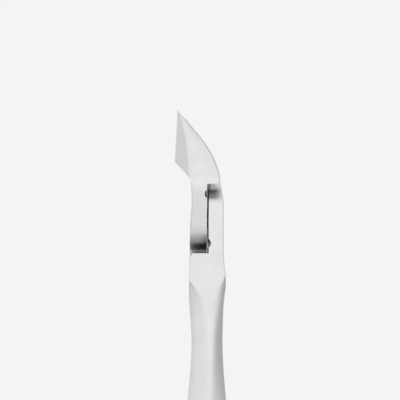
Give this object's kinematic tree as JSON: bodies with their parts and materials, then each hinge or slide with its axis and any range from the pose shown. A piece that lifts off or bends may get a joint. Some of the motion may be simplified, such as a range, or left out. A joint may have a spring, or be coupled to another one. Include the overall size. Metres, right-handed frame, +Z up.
{
  "type": "cuticle nipper",
  "caption": "Sprung hand nipper with a lap joint, a flush pivot screw, pointed half-jaws ground to a straight cutting edge, long bowed handles and interlocking leaf springs.",
  "frame": {"origin": "on the pivot axis, in the flush back end of the pivot screw", "axes": "+Z up through the joint towards the jaws, +Y along the pivot axis towards the back, so that the cutting edges face -Y; X is across, the way the jaws open"},
  "size_m": [0.0506, 0.0098, 0.113],
  "materials": {
    "satin_steel": "satin ground stainless steel with a fine lengthwise grain",
    "spring_steel": "rolled and tempered spring steel, bright and smooth",
    "turned_steel": "turned stainless steel, fine rings on the faces"
  },
  "bodies": {
    "back_lever": {"back_lever": "satin_steel", "pivot_screw": "turned_steel", "back_spring_rivet": "turned_steel"},
    "front_lever": {"front_lever": "satin_steel", "front_spring_rivet": "turned_steel"},
    "back_spring": {"back_leaf_spring": "spring_steel"},
    "front_spring": {"front_leaf_spring": "spring_steel"}
  },
  "joints": [
    {"name": "jaw_pivot", "type": "hinge", "parent": "back_lever", "child": "front_lever", "pos_m": [0, 0, 0], "axis": [0, -1, 0], "range_deg": [0, 13.6], "stiffness_Nm_per_rad": 1.2},
    {"name": "back_spring_flex", "type": "hinge", "parent": "back_lever", "child": "back_spring", "pos_m": [0.01168, -0.00299, -0.03894], "axis": [0, -1, 0], "range_deg": [0, 20.2], "deforming": ["back_leaf_spring"]},
    {"name": "front_spring_flex", "type": "hinge", "parent": "front_lever", "child": "front_spring", "pos_m": [-0.01168, -0.00299, -0.03894], "axis": [0, -1, 0], "range_deg": [-20.2, 0], "deforming": ["front_leaf_spring"]}
  ],
  "couplings": [
    {"joint": "back_spring_flex", "follows": "jaw_pivot", "ratio": 1.48},
    {"joint": "front_spring_flex", "follows": "jaw_pivot", "ratio": -1.48}
  ]
}
